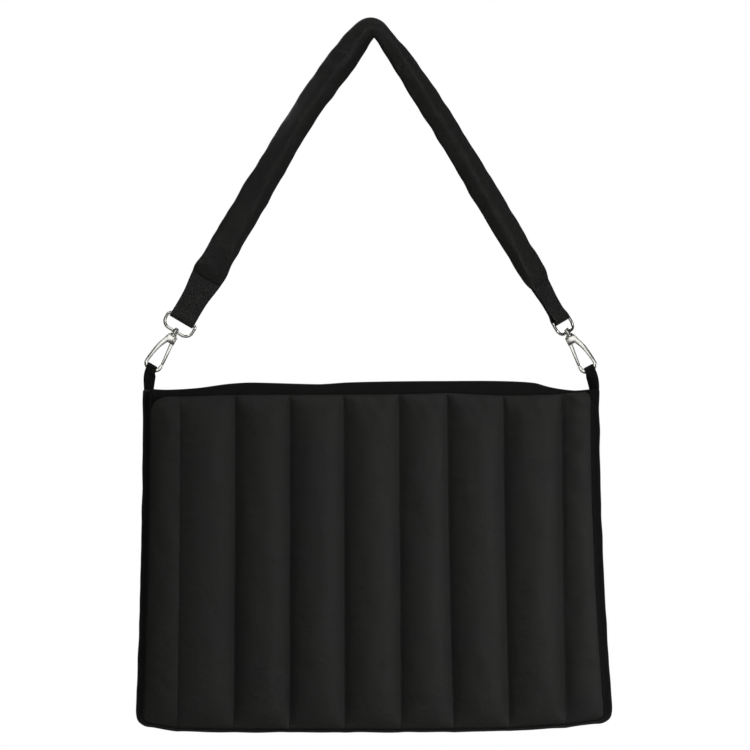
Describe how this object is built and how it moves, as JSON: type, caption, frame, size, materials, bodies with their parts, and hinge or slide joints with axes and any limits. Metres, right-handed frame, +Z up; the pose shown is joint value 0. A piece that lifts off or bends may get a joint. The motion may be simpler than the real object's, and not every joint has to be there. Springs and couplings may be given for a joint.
{
  "type": "quilted laptop bag",
  "caption": "Padded laptop bag with vertically quilted panels and an open top, hanging by a stuffed shoulder strap that clips to corner tabs with swivel snap hooks.",
  "frame": {"origin": "crook of the shoulder strap, where it lies over the peg that holds the bag up", "axes": "+X to the right as the front is seen, +Y from the front to the back, +Z up"},
  "size_m": [0.4142, 0.0548, 0.6224],
  "materials": {
    "quilted_nylon": "matt black woven nylon over wadding",
    "plain_nylon": "plain black nylon binding",
    "webbing": "black folded nylon strap",
    "snap_metal": "nickel-plated casting, polished"
  },
  "bodies": {
    "bag": {"front_panel": "quilted_nylon", "back_panel": "quilted_nylon", "strap_pad": "quilted_nylon", "gusset": "plain_nylon", "top_band_front": "plain_nylon", "top_band_back": "plain_nylon", "strap_end_left": "webbing", "strap_end_right": "webbing", "tab_left": "webbing", "tab_right": "webbing", "hook_left": "snap_metal", "hook_right": "snap_metal", "gate_pin_left": "snap_metal", "gate_pin_right": "snap_metal", "ring_left": "snap_metal", "ring_right": "snap_metal"},
    "gate_left": {"gate_left": "snap_metal"},
    "gate_right": {"gate_right": "snap_metal"}
  },
  "joints": [
    {"name": "gate_left_hinge", "type": "hinge", "parent": "bag", "child": "gate_left", "pos_m": [-0.17489, 0, -0.26391], "axis": [0, 1, 0], "range_deg": [0, 20], "stiffness_Nm_per_rad": 0.002, "springref_deg": -34.38},
    {"name": "gate_right_hinge", "type": "hinge", "parent": "bag", "child": "gate_right", "pos_m": [0.16999, 0, -0.2644], "axis": [0, -1, 0], "range_deg": [0, 20], "stiffness_Nm_per_rad": 0.002, "springref_deg": -34.38}
  ]
}
